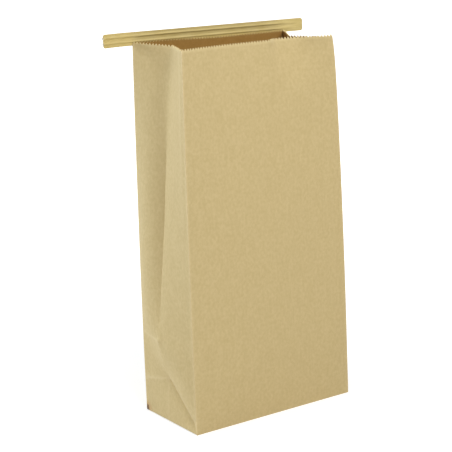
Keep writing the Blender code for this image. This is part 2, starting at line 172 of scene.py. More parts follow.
# The tie's finer form
RIDGE_THICK = 0.00073      # from the strip's middle to the top of a wire's ridge
RIDGE_SPREAD = 0.00062
PRESSED_END = 0.022        # the right end is pressed flatter over this length
PRESSED_SHARE = 0.42       # its ridges keep this share of their thickness
PRESSED_WIDER = 1.8        # and widen by this share
TIE_WAVE_LENGTH = 0.028
TIE_WAVE = 0.00012
TIE_WAVE_AT = (2.7, 0.4)
TIE_ROWS = 45
TIE_COLUMNS = 150
TIE_ROUND_STEP = 10        # degrees between the stations of a rounded end
TIE_SMOOTH_ANGLE = math.radians(50)

# Kraft papers: name, colour, colour of the painted highlight on the tooth tips, how much
# of it, sheen
PAPERS = (
    ("kraft paper", (0.580, 0.450, 0.218), (0.88, 0.73, 0.40), 0.8, 0.12),
    # The cut edge is a paler copy of the paper: a painted highlight on the cut rim
    ("cut paper edge painted highlight", (0.70, 0.55, 0.26), (0.88, 0.72, 0.36), 1.0, 0.05),
    # The inside is a darker, browner copy of the paper: painted shade of the bag's
    # interior
    ("kraft paper inside painted shade", (0.39, 0.215, 0.052), (0.50, 0.32, 0.11), 0.8, 0.02),
)
OUTSIDE, CUT_HIGHLIT, SHADED_INSIDE = range(len(PAPERS))

HIGHLIGHT_BELOW = 0.3           # the painted highlight on the tips ends this share of a tooth below it

# How the grain changes a paper's red, green and blue
MOTTLE_DARK = (0.95, 0.939, 0.905)
MOTTLE_PALE = (1.042, 1.048, 1.072)
BLOTCH_DARK = (0.87, 0.85, 0.79)
BLOTCH_SHARE = 0.19
STREAK_PALE = (1.09, 1.11, 1.19)
STREAK_SHARE = 0.18
# Creases paler from worn fibres, with a painted highlight where the folds catch light
WORN_AND_HIGHLIT_PALE = (1.22, 1.26, 1.45)
WORN_AND_HIGHLIT_SHARE = 0.48

# A small dark brown spot at the back left foot, dark within a paler halo
DARK_SPOT_AT = (-0.0610, 0.0305, 0.0012)
DARK_SPOT_RAGGED = 0.0020      # how far the mottle moves its edge
HALO_COLOUR = (0.52, 0.27, 0.10, 1)
HALO_FULL = 0.0036
HALO_GONE = 0.0085
HALO_SHARE = 0.6
SPOT_COLOUR = (0.10, 0.045, 0.012, 1)
SPOT_FULL = 0.0030
SPOT_GONE = 0.0046
SPOT_SHARE = 0.9

# The floor, plain white to the camera but for a soft shade round the bag
FLOOR_REACH = 14.0
FLOOR_COLOUR = (0.80, 0.80, 0.80, 1)
SHADE_REACH = 0.15         # from the middle of the bag
SHADE_GONE = 0.7
SHADE_LEVEL = 0.42         # glow of the shaded part; the rest has 1
WHITE = (1, 1, 1, 1)

# Studio light
WORLD_LEVEL = 0.45
KEY_AT = (-0.90, 1.05, 0.60)
KEY_SIZE = 0.9
KEY_POWER = 15
KEY_COLOUR = (0.84, 0.92, 1.0)
FILL_AT = (0.02, -0.80, 0.95)
FILL_SIZE = 0.7
FILL_POWER = 7.8

# The camera that took the photo, from the bag's corners in it
CAMERA_AZIMUTH = math.radians(-33.47)
CAMERA_ELEVATION = math.radians(12.66)
CAMERA_ROLL = math.radians(-2.52)
CAMERA_DISTANCE = 0.8671
CAMERA_LENS_MM = 106.1
SENSOR_MM = 36.0
AIM_ACROSS = -0.010
NEAREST_SEEN = 0.01

FLOOR_TOP = 3 * PAPER      # the folded ends and two flaps lie on each other
HALF_W = WIDTH / 2
HALF_D = DEPTH / 2
RIM_FOOT = HEIGHT - TOOTH_DEPTH
TIP_HIGHLIGHT_FOOT = RIM_FOOT - HIGHLIGHT_BELOW * TOOTH_DEPTH
GUSSET_PITCH = DEPTH / round(DEPTH / TOOTH_PITCH)
CREASE_AT = (round(CREASE_SHARE * DEPTH / GUSSET_PITCH - 0.5) + 0.5) * GUSSET_PITCH
SIDES = {"left": -1.0, "right": 1.0, "front": -1.0, "back": 1.0}
TIE_MIDDLE_Z = HEIGHT - TIE_BELOW_RIM + TIE_HEIGHT / 2
TIE_START = TIE_OFFSET - TIE_LENGTH / 2
TIE_END = TIE_OFFSET + TIE_LENGTH / 2


# Form of the standing bag

def above_floor(z):
    """0 where the wall stands on the floor of the bag, 1 at the mouth."""
    return (z - FLOOR_TOP) / (HEIGHT - FLOOR_TOP)


def eased(value):
    """0 below 0, 1 above 1 and a smooth step between them."""
    value = min(1.0, max(0.0, value))
    return value * value * (3 - 2 * value)


def corner(end, side, z):
    """One of the four upright creases at height z, as x and y."""
    lean_x, lean_y, power = CORNER_LEAN[end + "_" + side]
    share = above_floor(z) ** power
    if (end, side) == ("front", "right"):
        lean_x -= CURL_IN * math.exp(-max(0.0, HEIGHT - z) / CURL_REACH)
    return np.array((SIDES[side] * HALF_W + lean_x * share,
                     SIDES[end] * HALF_D + lean_y * share))


def gusset_facets():
    """The flat facets of a gusset below its ridge, its crease and its top ridge.

    A point is its place from the back crease to the front one, its height and
    how far it stands out.
    """
    back_foot = (0.0, FLOOR_TOP, 0.0)
    middle_foot = (CREASE_AT, FLOOR_TOP, 0.0)
    front_foot = (DEPTH, FLOOR_TOP, 0.0)
    fold_end = (0.0, FOLD_HEIGHT, 0.0)
    node = (CREASE_AT, NODE_HEIGHT, NODE_OUT)
    ridge_end = (0.0, RIDGE_HEIGHT, 0.0)
    ridge_top = (CREASE_AT, RIDGE_HEIGHT, RIDGE_OUT)
    front_edge = (DEPTH, RIDGE_HEIGHT, 0.0)
    ridge_sizes = (DEPTH, RIDGE_HEIGHT, RIDGE_OUT)
    bow_high = tuple(share * size for share, size in zip(BOW_HIGH, ridge_sizes))
    bow_low = tuple(share * size for share, size in zip(BOW_LOW, ridge_sizes))
    facets = [
        (back_foot, middle_foot, node), (middle_foot, front_foot, node),
        (back_foot, node, fold_end), (fold_end, node, ridge_end),
        (node, ridge_top, ridge_end), (node, front_foot, bow_low),
        (node, bow_low, bow_high), (node, bow_high, ridge_top),
        (front_foot, front_edge, bow_low), (bow_low, front_edge, bow_high),
        (bow_high, front_edge, ridge_top),
    ]
    return facets, [fold_end, node, front_foot], [ridge_end, ridge_top]


FACETS, SHARP_CREASE, TOP_RIDGE = gusset_facets()


def facet_height(across, z):
    """Height of the facets over the flat gusset, by barycentric weights."""
    best = None
    for a, b, c in FACETS:
        area = (b[0] - a[0]) * (c[1] - a[1]) - (c[0] - a[0]) * (b[1] - a[1])
        wb = ((across - a[0]) * (c[1] - a[1]) - (c[0] - a[0]) * (z - a[1])) / area
        wc = ((b[0] - a[0]) * (z - a[1]) - (across - a[0]) * (b[1] - a[1])) / area
        inside = min(wb, wc, 1 - wb - wc)
        if best is None or inside > best[0]:
            best = (inside, a[2] + wb * (b[2] - a[2]) + wc * (c[2] - a[2]))
    return best[1]


def gusset_out(across, z):
    """How far a side gusset stands out from the line between its creases."""
    if z <= RIDGE_HEIGHT:
        return facet_height(across, z)
    rise = min(1.0, (z - RIDGE_HEIGHT) / (HEIGHT - RIDGE_HEIGHT))
    middle = RIDGE_OUT - (RIDGE_OUT + TUCK_IN) * rise
    if across > CREASE_AT:
        return middle * (DEPTH - across) / (DEPTH - CREASE_AT)
    share = across / CREASE_AT
    bulge = GUSSET_BULGE * math.sin(math.pi * rise ** BULGE_LOW)
    return middle * share + bulge * math.sin(math.pi * share)


def front_out(across, z):
    """The front panel is flat below and hollows in towards the mouth."""
    share = min(1.0, max(0.0, across / WIDTH))
    hollow = MOUTH_SAG * math.sin(math.pi * share) * above_floor(z) ** SAG_POWER
    from_right = WIDTH - DENT_CORNER - across
    flanks = eased(from_right / DENT_SLOPE)
    flanks *= eased((DENT_WIDTH - from_right) / DENT_STEEP)
    near_rim = max(0.0, 1 - (HEIGHT - z) / DENT_REACH)
    return -hollow - DENT_IN * flanks * near_rim ** DENT_POWER


def back_out(across, z):
    """The back panel is straight but for its fold line, a shallow valley."""
    share = min(1.0, max(0.0, across / WIDTH))
    if z < FOLD_HEIGHT:
        dip = (z - FLOOR_TOP) / (FOLD_HEIGHT - FLOOR_TOP)
    else:
        dip = max(0.0, 1 - (z - FOLD_HEIGHT) / FOLD_EASE)
    return -FOLD_IN * dip * math.sqrt(math.sin(math.pi * share))


def lap_lift(across, z):
    """The lap's ply lies one paper thickness proud of the back panel."""
    full_until = LAP_EDGE + LAP_WIDTH
    rise = (across - LAP_EDGE) / PAPER
    fall = 1 - (across - full_until) / LAP_EASE
    foot = (z - FLOOR_TOP) / LAP_EASE
    return PAPER * max(0.0, min(1.0, rise, fall, foot))


PANELS = {
    # name: start corner, end corner, flat width, form, +1 where the outside is
    # on the right hand of start to end
    "front": (("front", "left"), ("front", "right"), WIDTH, front_out, 1),
    "left": (("back", "left"), ("front", "left"), DEPTH, gusset_out, 1),
    "right": (("back", "right"), ("front", "right"), DEPTH, gusset_out, -1),
    "back": (("back", "left"), ("back", "right"), WIDTH, back_out, -1),
}


def unevenness(point):
    """Slow waves and fine cockle of the paper."""
    wave = noise.noise(Vector(point) / WAVE_LENGTH + Vector(WAVE_AT))
    cockle = noise.noise(Vector(point) / COCKLE_LENGTH)
    return WAVE_DEPTH * wave + COCKLE_DEPTH * cockle


def tooth_lean(panel, across, z):
    """How far a tooth leans outwards at a place; those of the back lean in."""
    tooth = round(across / TOOTH_PITCH - 0.5)
    bent = noise.noise(Vector((tooth * TOOTH_NOISE_STEP, *TOOTH_NOISE_AT)))
    if panel == "back":
        bent = -1 - abs(bent)
    return TOOTH_BEND * bent * max(0.0, (z - RIM_FOOT) / TOOTH_DEPTH)


def dip_share(panel, share):
    """How much of the rim's dip a place on a panel takes, from 0 to 1."""
    if panel != "right":
        return 0.0
    return eased((share - DIP_FROM) / DIP_EASE) * eased((1 - share) / DIP_END)


def raised(x, y, z, dip=0.0):
    """The place of a sheet point, after the rim's rise and dip near the mouth."""
    rise = max(0.0, y) / HALF_D * eased((RISE_FROM - x) / RISE_EASE)
    change = BACK_RISE * rise - RIM_DIP * dip
    return np.array((x, y, z + change * above_floor(z) ** RISE_POWER))


def panel_point(panel, across, z, form):
    """A point of the flat panel on the standing bag, and the way outwards there.

    form is how far the point stands out from the line between the panel's creases.
    """
    start, end, width, _, hand = PANELS[panel]
    a = corner(*start, z)
    b = corner(*end, z)
    chord = b - a
    outward = hand * np.array((chord[1], -chord[0])) / np.hypot(*chord)
    share = across / width
    if not 0 < round(share, SHARED_DIGITS) < 1:
        x, y = b if share > 0.5 else a
        return raised(x, y, z), np.array((*outward, 0.0))
    x, y = a + chord * share + outward * form
    inside = min(across, width - across, z - FLOOR_TOP) / WAVE_FADE
    fade = min(1.0, inside) ** 2
    lean = tooth_lean(panel, across, z)
    x, y = np.array((x, y)) + outward * (unevenness((x, y, z)) * fade + lean)
    return raised(x, y, z, dip_share(panel, share)), np.array((*outward, 0.0))


# The flat pattern of a panel, cut into triangles along its creases

def rim_height(across, width):
    """Height of the serrated edge above a place on the panel."""
    pitch = width / round(width / TOOTH_PITCH)
    phase = (across / pitch) % 1.0
    return RIM_FOOT + TOOTH_DEPTH * (1 - abs(2 * phase - 1))


def rim_stations(width, extra):
    """The serrated edge of a panel, from crease to crease."""
    teeth = round(width / TOOTH_PITCH)
    places = {round(k * width / teeth / 2, STATION_DIGITS)
              for k in range(2 * teeth + 1)}
    places.update(round(place, STATION_DIGITS) for place in extra)
    return [(place, rim_height(place, width)) for place in sorted(places)]


def sampled(start, end, step):
    """Points along a straight crease, both ends included."""
    count = max(1, round(math.dist(start, end) / step))
    return [tuple(np.add(start, np.subtract(end, start) * k / count))
            for k in range(count + 1)]


def grid_rows():
    """Heights shared by all panels, so that they meet at the upright creases."""
    count = round((RIM_FOOT - FLOOR_TOP) / ROW)
    regular = np.linspace(FLOOR_TOP, RIM_FOOT, count + 1)
    fixed = (FOLD_HEIGHT, NODE_HEIGHT, RIDGE_HEIGHT)
    rows = [z for z in regular if all(abs(z - f) > ROW / 3 for f in fixed)]
    return sorted({round(z, STATION_DIGITS) for z in (*rows, *fixed)})


# Where the back panel bends over its lap: the step up and the slope back down
LAP_COLUMNS = (LAP_EDGE, LAP_EDGE + PAPER, LAP_EDGE + LAP_WIDTH,
               LAP_EDGE + LAP_WIDTH + LAP_EASE)


def corners_of(crease):
    """The corner points of a crease in the flat pattern, without their depth."""
    return [(across, z) for across, z, _ in crease]


def distance_to(places, line):
    """Distance from each place to a polyline, in the flat pattern."""
    line = np.array(line)
    best = np.full(len(places), FAR_AWAY)
    for a, b in zip(line, line[1:]):
        span = b - a
        along = np.clip((places - a) @ span / (span @ span), 0, 1)
        gap = np.linalg.norm(places - a - along[:, None] * span, axis=1)
        best = np.minimum(best, gap)
    return best


def crease_relief(panel, places):
    """How the paper curves beside its creases, and how worn each place is, which also
    sets a painted highlight along the creases.
    """
    width = PANELS[panel][2]
    z = places[:, 1]
    edge = np.minimum(places[:, 0], width - places[:, 0])
    relief = np.zeros(len(places))
    wear_and_highlight = np.exp(-edge / WEAR_AND_HIGHLIGHT_SPREAD)
    if panel in ("left", "right"):
        fold_end, node, front_foot = corners_of(SHARP_CREASE)
        ridge_end, ridge_top = corners_of(TOP_RIDGE)
        valley = distance_to(places, (node, front_foot))
        relief -= VALLEY_DEPTH * np.exp(-valley / VALLEY_SPREAD)
        centre = distance_to(places, (ridge_top, (CREASE_AT, HEIGHT)))
        rise = np.clip((z - RIDGE_HEIGHT) / (HEIGHT - RIDGE_HEIGHT), 0, 1)
        deep = np.clip((z - RIDGE_HEIGHT) / CENTRE_EASE, 0, 1) * (1 - rise ** 2)
        relief -= CENTRE_DEPTH * deep * np.exp(-centre / CENTRE_SPREAD)
        ridges = (((fold_end, node), 1.0),
                  ((ridge_end, ridge_top), TOP_RIDGE_SHARE),
                  (((CREASE_AT, FLOOR_TOP), node), FOOT_RIDGE_SHARE))
        for line, share in ridges:
            away = distance_to(places, line)
            relief += RIDGE_LIFT * share * np.exp(-away / RIDGE_NARROW)
            wear_and_highlight = np.maximum(wear_and_highlight, share * np.exp(-away / WEAR_AND_HIGHLIGHT_SPREAD))
        roll = np.exp(-((places[:, 0] - EDGE_ROLL_AT) / EDGE_ROLL_SPREAD) ** 2)
        up = (z / HEIGHT - EDGE_ROLL_FROM) / EDGE_ROLL_EASE
        relief += EDGE_ROLL * roll * np.clip(up, 0, 1)
    if panel == "back":
        away = distance_to(places, ((0.0, FOLD_HEIGHT), (WIDTH, FOLD_HEIGHT)))
        wear_and_highlight = np.maximum(wear_and_highlight, BACK_FOLD_WEAR_AND_HIGHLIGHT * np.exp(-away / WEAR_AND_HIGHLIGHT_SPREAD))
    fade = np.minimum(edge, z - FLOOR_TOP) / RELIEF_FADE
    return relief * np.clip(fade, 0, 1), wear_and_highlight


def sharp_lines(panel, rows):
    """Creases that stay sharp, as lists of points (across, height).

    The first line of a gusset is its centre crease.
    """
    if panel in ("left", "right"):
        bends = corners_of(SHARP_CREASE)
        return [[(CREASE_AT, z) for z in rows]] + [
            sampled(a, b, CREASE_STEP) for a, b in zip(bends, bends[1:])]
    if panel == "back":
        fold = sampled((0.0, FOLD_HEIGHT), (WIDTH, FOLD_HEIGHT), COLUMN)
        return [fold] + [[(across, z) for z in rows] for across in LAP_COLUMNS]
    return []


def near_lines(places, lines, limit):
    """True for each place that lies closer than limit to one of the lines."""
    near = np.zeros(len(places), bool)
    for line in lines:
        near |= distance_to(places, line) < limit
    return near


def flat_pattern(panel, rows):
    """Triangulate one flat panel.

    Returns its points and triangles, its sharp lines and its borders.
    """
    width = PANELS[panel][2]
    lines = sharp_lines(panel, rows)
    extra = LAP_COLUMNS if panel == "back" else ()
    rim = rim_stations(width, extra)
    columns = round(width / COLUMN)
    foot = [(width * k / columns, rows[0]) for k in range(columns + 1)]
    borders = [foot, rim, [(0.0, z) for z in rows], [(width, z) for z in rows]]

    grid = [(width * (j - 0.5 * (k % 2)) / columns, z)
            for k, z in enumerate(rows[1:-1]) for j in range(1, columns + 1)]
    grid = np.array([p for p in grid if 0 < p[0] < width])
    grid = grid[~near_lines(grid, borders + lines, CLEAR_OF_CREASE)]

    points = []
    edges = []
    index = {}

    def point_id(point):
        key = tuple(round(part, PATTERN_DIGITS) for part in point)
        if key not in index:
            index[key] = len(points)
            points.append(Vector(key))
        return index[key]

    for line in borders + lines:
        ids = [point_id(p) for p in line]
        edges += [pair for pair in zip(ids, ids[1:]) if pair[0] != pair[1]]
    for place in grid:
        point_id(place)
    flat, _, faces, *_ = delaunay_2d_cdt(points, edges, [], 0, SAME_PLACE)
    triangles = []
    for face in faces:
        a, b, c = (flat[i] for i in face)
        middle = (a + b + c) / 3
        if middle[1] < rim_height(middle[0], width):
            turn = (b - a).cross(c - a)
            triangles.append(face if turn > 0 else face[::-1])
    return np.array([tuple(p) for p in flat]), np.array(triangles), lines, borders


def softened(heights, triangles, fixed):
    """Round the facets off between the creases that stay sharp."""
    pairs = np.concatenate([triangles[:, [0, 1]], triangles[:, [1, 2]],
                            triangles[:, [2, 0]]])
    pairs = np.concatenate([pairs, pairs[:, ::-1]])
    count = np.bincount(pairs[:, 0], minlength=len(heights))
    for _ in range(SOFTEN_PASSES):
        total = np.bincount(pairs[:, 0], heights[pairs[:, 1]], len(heights))
        heights = np.where(fixed, heights, total / np.maximum(count, 1))
    return heights


# The folded sheet as one closed body

def folded(panel, flat, faces, lines, borders):
    """How far each place of a panel stands out, and how worn it is, also for a painted
    crease highlight.

    Near the mouth a gusset's centre crease, its first line, is softened too.
    """
    form = PANELS[panel][3]
    heights = np.array([form(across, z) for across, z in flat])
    relief, wear_and_highlight = crease_relief(panel, flat)
    limit = CLEAR_OF_CREASE / 2
    sharp = softened(heights, faces, near_lines(flat, borders + lines, limit))
    soft = softened(heights, faces, near_lines(flat, borders + lines[1:], limit))
    blend = np.clip((flat[:, 1] - SHARP_UNTIL) / SOFT_EASE, 0, 1)
    return sharp + (soft - sharp) * blend + relief, wear_and_highlight


def outer_wall():
    """Fold the four flat panels up and join them along the upright creases.

    Returns the outer points, how far the lap's ply lifts each one, the triangles
    and for each point how worn it is, also for a painted crease highlight, and how near
    to a tooth's tip, for the tips' painted highlight.
    """
    rows = grid_rows()
    points = []
    lifts = []
    marks = []
    triangles = []
    index = {}
    for panel, (*_, hand) in PANELS.items():
        flat, faces, lines, borders = flat_pattern(panel, rows)
        heights, wear_and_highlight = folded(panel, flat, faces, lines, borders)
        # How near each point is to a tooth's tip, which sets the tips' painted highlight
        tip_highlights = np.clip((flat[:, 1] - TIP_HIGHLIGHT_FOOT) / (HEIGHT - TIP_HIGHLIGHT_FOOT), 0, 1)
        ids = []
        for (across, z), out, mark in zip(flat, heights, zip(wear_and_highlight, tip_highlights)):
            point, outward = panel_point(panel, across, z, out)
            key = tuple(np.round(point, SHARED_DIGITS))
            if key not in index:
                index[key] = len(points)
                points.append(point)
                lifts.append(np.zeros(3))
                marks.append(mark)
            if panel == "back":
                lifts[index[key]] = outward * lap_lift(across, z)
            ids.append(index[key])
        for face in faces:
            turned = [ids[i] for i in face]
            triangles.append(turned if hand > 0 else turned[::-1])
    return np.array(points), np.array(lifts), np.array(triangles), marks


def inner_offsets(points, triangles):
    """Step from each outer point to the inner face, square to its facets."""
    a, b, c = (points[triangles[:, k]] for k in range(3))
    normals = np.cross(b - a, c - a)
    normals /= np.linalg.norm(normals, axis=1)[:, None]
    around = [[] for _ in points]
    for triangle, normal in zip(triangles, normals):
        for i in triangle:
            around[i].append(normal)
    offsets = np.zeros_like(points)
    for i, found in enumerate(around):
        depths = np.full(len(found), -PAPER)
        offsets[i] = np.linalg.lstsq(np.array(found), depths, rcond=OFFSET_CUTOFF)[0]
    on_floor = np.isclose(points[:, 2], FLOOR_TOP)
    offsets[on_floor, 2] = 0.0
    return offsets


class Shell:
    """Faces given by their corner points, joined where points coincide."""

    def __init__(self):
        self.mesh = bmesh.new()
        self.worn_and_highlit = self.mesh.verts.layers.float.new("worn_and_highlit")
        # tip: nearness to a tooth's tip, which sets the tips' painted highlight
        self.tip = self.mesh.verts.layers.float.new("tip")
        self.found = {}

    def vertex(self, point):
        key = tuple(round(float(c), VERTEX_DIGITS) for c in point)
        if key not in self.found:
            self.found[key] = self.mesh.verts.new(key)
        return self.found[key]

    def mark(self, point, worn_and_highlit, tip):
        """How worn a point is, also for a painted crease highlight, and how near it is
        to a tooth's tip, for the tips' painted highlight.
        """
        vertex = self.vertex(point)
        vertex[self.worn_and_highlit] = worn_and_highlit
        vertex[self.tip] = tip

    def face(self, *corners, slot=OUTSIDE):
        made = self.mesh.faces.new([self.vertex(p) for p in corners])
        made.material_index = slot

    def finish(self, name):
        bmesh.ops.recalc_face_normals(self.mesh, faces=self.mesh.faces)
        mesh = bpy.data.meshes.new(name)
        self.mesh.to_mesh(mesh)
        self.mesh.free()
        return mesh


def boundary_edges(triangles):
    """Edges that belong to one triangle only, in that triangle's order."""
    single = {}
    for triangle in triangles:
        for i, j in zip(triangle, np.roll(triangle, -1)):
            key = frozenset((int(i), int(j)))
            single[key] = None if key in single else (int(i), int(j))
    return [edge for edge in single.values() if edge is not None]


def add_walls(shell):
    """Both faces of the paper wall and its serrated cut edge.

    Returns the outer and the inner points round the foot of the wall.
    """
    points, lifts, triangles, marks = outer_wall()
    inner = points + inner_offsets(points, triangles)
    outer = points + lifts
    # Outer faces take the outside paper, inner faces the darker paper with painted shade
    for i, j, k in triangles:
        shell.face(outer[i], outer[j], outer[k])
        shell.face(inner[i], inner[k], inner[j], slot=SHADED_INSIDE)
    # Each point's wear with its painted crease highlight and its tips' painted
    # highlight; the inner face has no crease mark
    for outside, inside, mark in zip(outer, inner, marks):
        shell.mark(outside, *mark)
        shell.mark(inside, 0.0, mark[1])
    for i, j in boundary_edges(triangles):
        if points[i][2] > HEIGHT / 2:
            # The cut rim takes the paler paper, a painted highlight
            shell.face(outer[i], inner[i], inner[j], outer[j], slot=CUT_HIGHLIT)
    foot = [i for i, p in enumerate(points) if abs(p[2] - FLOOR_TOP) < SAME_PLACE]
    foot.sort(key=lambda i: math.atan2(points[i][1], points[i][0]))
    return [outer[i] for i in foot], [inner[i] for i in foot]


def side_of(foot, axis, sign):
    """The foot points on one straight side, in order along it."""
    limit = (HALF_W, HALF_D)[axis]
    chosen = [p for p in foot if abs(p[axis] - sign * limit) < ON_SIDE]
    return sorted(chosen, key=lambda p: p[1 - axis])


def add_base(shell, foot, floor):
    """The block bottom: folded-in ends under two long flaps, front one last."""
    front_level, back_level, end_level = 0.0, PAPER, 2 * PAPER
    reach = HALF_D + FLAP_OVERLAP / 2
    # The bag's floor inside also takes the darker paper with painted shade
    shell.face(*floor, slot=SHADED_INSIDE)

    def at(x, y, z):
        return np.array((x, y, z))

    def stacked(x, y, *levels):
        return [at(x, y, z) for z in levels]

    front = side_of(foot, 1, -1)
    back = side_of(foot, 1, 1)
    shell.face(*front,
               *stacked(HALF_W, -HALF_D, end_level, front_level),
               *stacked(-HALF_W, -HALF_D, front_level, end_level))
    shell.face(*back,
               *stacked(HALF_W, HALF_D, end_level, back_level),
               *stacked(-HALF_W, HALF_D, back_level, end_level))
    for sign in (-1, 1):
        x = sign * HALF_W
        shell.face(*side_of(foot, 0, sign),
                   at(x, HALF_D, end_level), at(x, -HALF_D, end_level))
        tip = sign * (HALF_W - HALF_D)
        notch = sign * (HALF_W - reach)
        shell.face(at(x, -HALF_D, end_level), at(x, HALF_D, end_level),
                   at(tip, 0, end_level))
        shell.face(*stacked(x, -HALF_D, end_level, front_level),
                   *stacked(tip, 0, front_level, back_level, end_level))
        shell.face(*stacked(x, HALF_D, end_level, back_level),
                   *stacked(tip, 0, back_level, end_level))
        shell.face(*stacked(tip, 0, back_level, front_level),
                   *stacked(notch, reach - HALF_D, front_level, back_level))
    left, right = HALF_W - reach, reach - HALF_W
    free = reach - HALF_D
    shell.face(*stacked(right, free, back_level, front_level),
               *stacked(left, free, front_level, back_level))
    for level, y in ((front_level, -HALF_D), (back_level, HALF_D)):
        shell.face(at(-HALF_W, y, level), at(HALF_W, y, level),
                   at(HALF_W - HALF_D, 0, level), at(left, free, level),
                   at(right, free, level), at(HALF_D - HALF_W, 0, level))


def build_bag(materials):
    """The folded sheet with its three papers: outside, cut edge with a painted
    highlight, and inside with painted shade.
    """
    shell = Shell()
    foot, floor = add_walls(shell)
    add_base(shell, foot, floor)
    mesh = shell.finish("bag_sheet")
    for material in materials:
        mesh.materials.append(material)
    mesh.shade_smooth()
    mesh.set_sharp_from_angle(angle=SMOOTH_ANGLE)
    bag = bpy.data.objects.new("bag_sheet", mesh)
    bpy.context.collection.objects.link(bag)
    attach(bag, "root")
    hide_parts("paper_bag")


# The tin tie: two plies of paper over two wires

def tie_path(x):
    """Middle of the strip at x and the direction across it."""
    left = corner("back", "left", HEIGHT)
    right = corner("back", "right", HEIGHT)
    slope = (right[1] - left[1]) / (right[0] - left[0])
    y = left[1] + slope * (x - left[0]) + PAPER + TIE_GLUE_GAP + TIE_PLY
    free = max(0.0, TIE_START + TIE_FREE_LEFT - x) / TIE_FREE_LEFT
    y -= TIE_BEND * free ** 2
    slope += 2 * TIE_BEND * free / TIE_FREE_LEFT
    across = np.array((-slope, 1.0, 0.0))
    z = TIE_MIDDLE_Z - TIE_ASKEW * (x - TIE_OFFSET) / TIE_LENGTH
    return np.array((x, y, z)), across / np.linalg.norm(across)


def tie_section(x, side):
    """Outline of one ply at x: thickness outwards and height."""
    from_end = min(x - TIE_START, TIE_END - x)
    inset = max(0.0, TIE_END_RADIUS - from_end)
    half = TIE_HEIGHT / 2 - TIE_END_RADIUS + math.sqrt(
        max(0.0, TIE_END_RADIUS ** 2 - inset ** 2))
    pressed = eased(1 - (TIE_END - x) / PRESSED_END)
    ridge = (RIDGE_THICK - TIE_PLY) * (1 - (1 - PRESSED_SHARE) * pressed)
    heights = np.linspace(-half, half, TIE_ROWS)
    from_wire = np.abs(np.abs(heights) - WIRE_SPACING / 2)
    spread = RIDGE_SPREAD * (1 + PRESSED_WIDER * pressed)
    swell = ridge * np.exp(-(from_wire / spread) ** 2)
    inner = [(side * t, h) for t, h in zip(swell, heights)]
    outer = [(side * (t + TIE_PLY), h) for t, h in zip(swell, heights)]
    return outer + inner[::-1]


def tie_stations():
    """Places along the strip, closer together where its ends are round."""
    rounded = [TIE_END_RADIUS * (1 - math.cos(math.radians(angle)))
               for angle in range(0, 90, TIE_ROUND_STEP)]
    span = np.linspace(TIE_START + TIE_END_RADIUS, TIE_END - TIE_END_RADIUS,
                       TIE_COLUMNS)
    return ([TIE_START + inset for inset in rounded] + list(span)
            + [TIE_END - inset for inset in reversed(rounded)])


def build_tie(paper):
    """The strip's two plies, each a closed body that follows the wires."""
    bm = bmesh.new()
    for side in (-1, 1):
        rings = []
        for x in tie_stations():
            middle, across = tie_path(x)
            drift = noise.noise(Vector((x / TIE_WAVE_LENGTH, *TIE_WAVE_AT)))
            middle = middle + across * TIE_WAVE * drift
            rings.append([bm.verts.new(middle + across * t + np.array((0, 0, h)))
                          for t, h in tie_section(x, side)])
        for one, two in zip(rings, rings[1:]):
            for k in range(len(one)):
                n = (k + 1) % len(one)
                bm.faces.new((one[k], one[n], two[n], two[k]))
        for ring in (rings[0], rings[-1]):
            last = len(ring) - 1
            for k in range(TIE_ROWS - 1):
                bm.faces.new((ring[k], ring[k + 1],
                              ring[last - k - 1], ring[last - k]))
    bmesh.ops.recalc_face_normals(bm, faces=bm.faces)
    mesh = bpy.data.meshes.new("tie_plies")
    bm.to_mesh(mesh)
    bm.free()
    mesh.materials.append(paper)
    mesh.shade_smooth()
    mesh.set_sharp_from_angle(angle=TIE_SMOOTH_ANGLE)
    tie = bpy.data.objects.new("tie_plies", mesh)
    bpy.context.collection.objects.link(tie)
    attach(tie, "root")
    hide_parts("tie_wrap")


# Materials

class Nodes:
    """A Principled material and a short way to add nodes to it."""

    def __init__(self, name, roughness):
        self.material = bpy.data.materials.new(name)
        self.material.use_nodes = True
        self.tree = self.material.node_tree
        self.shader = self.tree.nodes["Principled BSDF"]
        self.shader.inputs["Roughness"].default_value = roughness

    def add(self, kind, inputs=None, **settings):
        """A new node, its inputs linked or set to values."""
        node = self.tree.nodes.new(kind)
        for key, value in settings.items():
            setattr(node, key, value)
        for key, value in (inputs or {}).items():
            if isinstance(value, bpy.types.NodeSocket):
                self.tree.links.new(value, node.inputs[key])
            else:
                node.inputs[key].default_value = value
        return node

    def link(self, output, name):
        self.tree.links.new(output, self.shader.inputs[name])

    def place(self, stretch):
        """Object coordinates, scaled by stretch."""
        coordinates = self.add("ShaderNodeTexCoord").outputs["Object"]
        mapping = self.add("ShaderNodeMapping", {"Vector": coordinates,
                                                 "Scale": stretch})
        return mapping.outputs["Vector"]

    def noise(self, stretch, scale, detail, roughness=0.5):
        """Noise between 0 and 1 that is fixed to the object."""
        made = self.add("ShaderNodeTexNoise",
                        {"Vector": self.place(stretch), "Scale": scale,
                         "Detail": detail, "Roughness": roughness})
        return made.outputs["Fac"]

    def spread(self, value, low, high, to_low, to_high):
        """value, where low to high becomes to_low to to_high."""
        made = self.add("ShaderNodeMapRange",
                        {"Value": value, "From Min": low, "From Max": high,
                         "To Min": to_low, "To Max": to_high})
        return made.outputs["Result"]

    def mix(self, factor, a, b):
        """Colour a where factor is 0 and colour b where it is 1."""
        made = self.tree.nodes.new("ShaderNodeMix")
        made.data_type = "RGBA"
        for slot, value in ((0, factor), (6, a), (7, b)):
            if isinstance(value, bpy.types.NodeSocket):
                self.tree.links.new(value, made.inputs[slot])
            else:
                made.inputs[slot].default_value = value
        return made.outputs[2]


def toned(colour, factors):
    """A colour with its red, green and blue multiplied by factors."""
    return (*(part * factor for part, factor in zip(colour, factors)), 1)


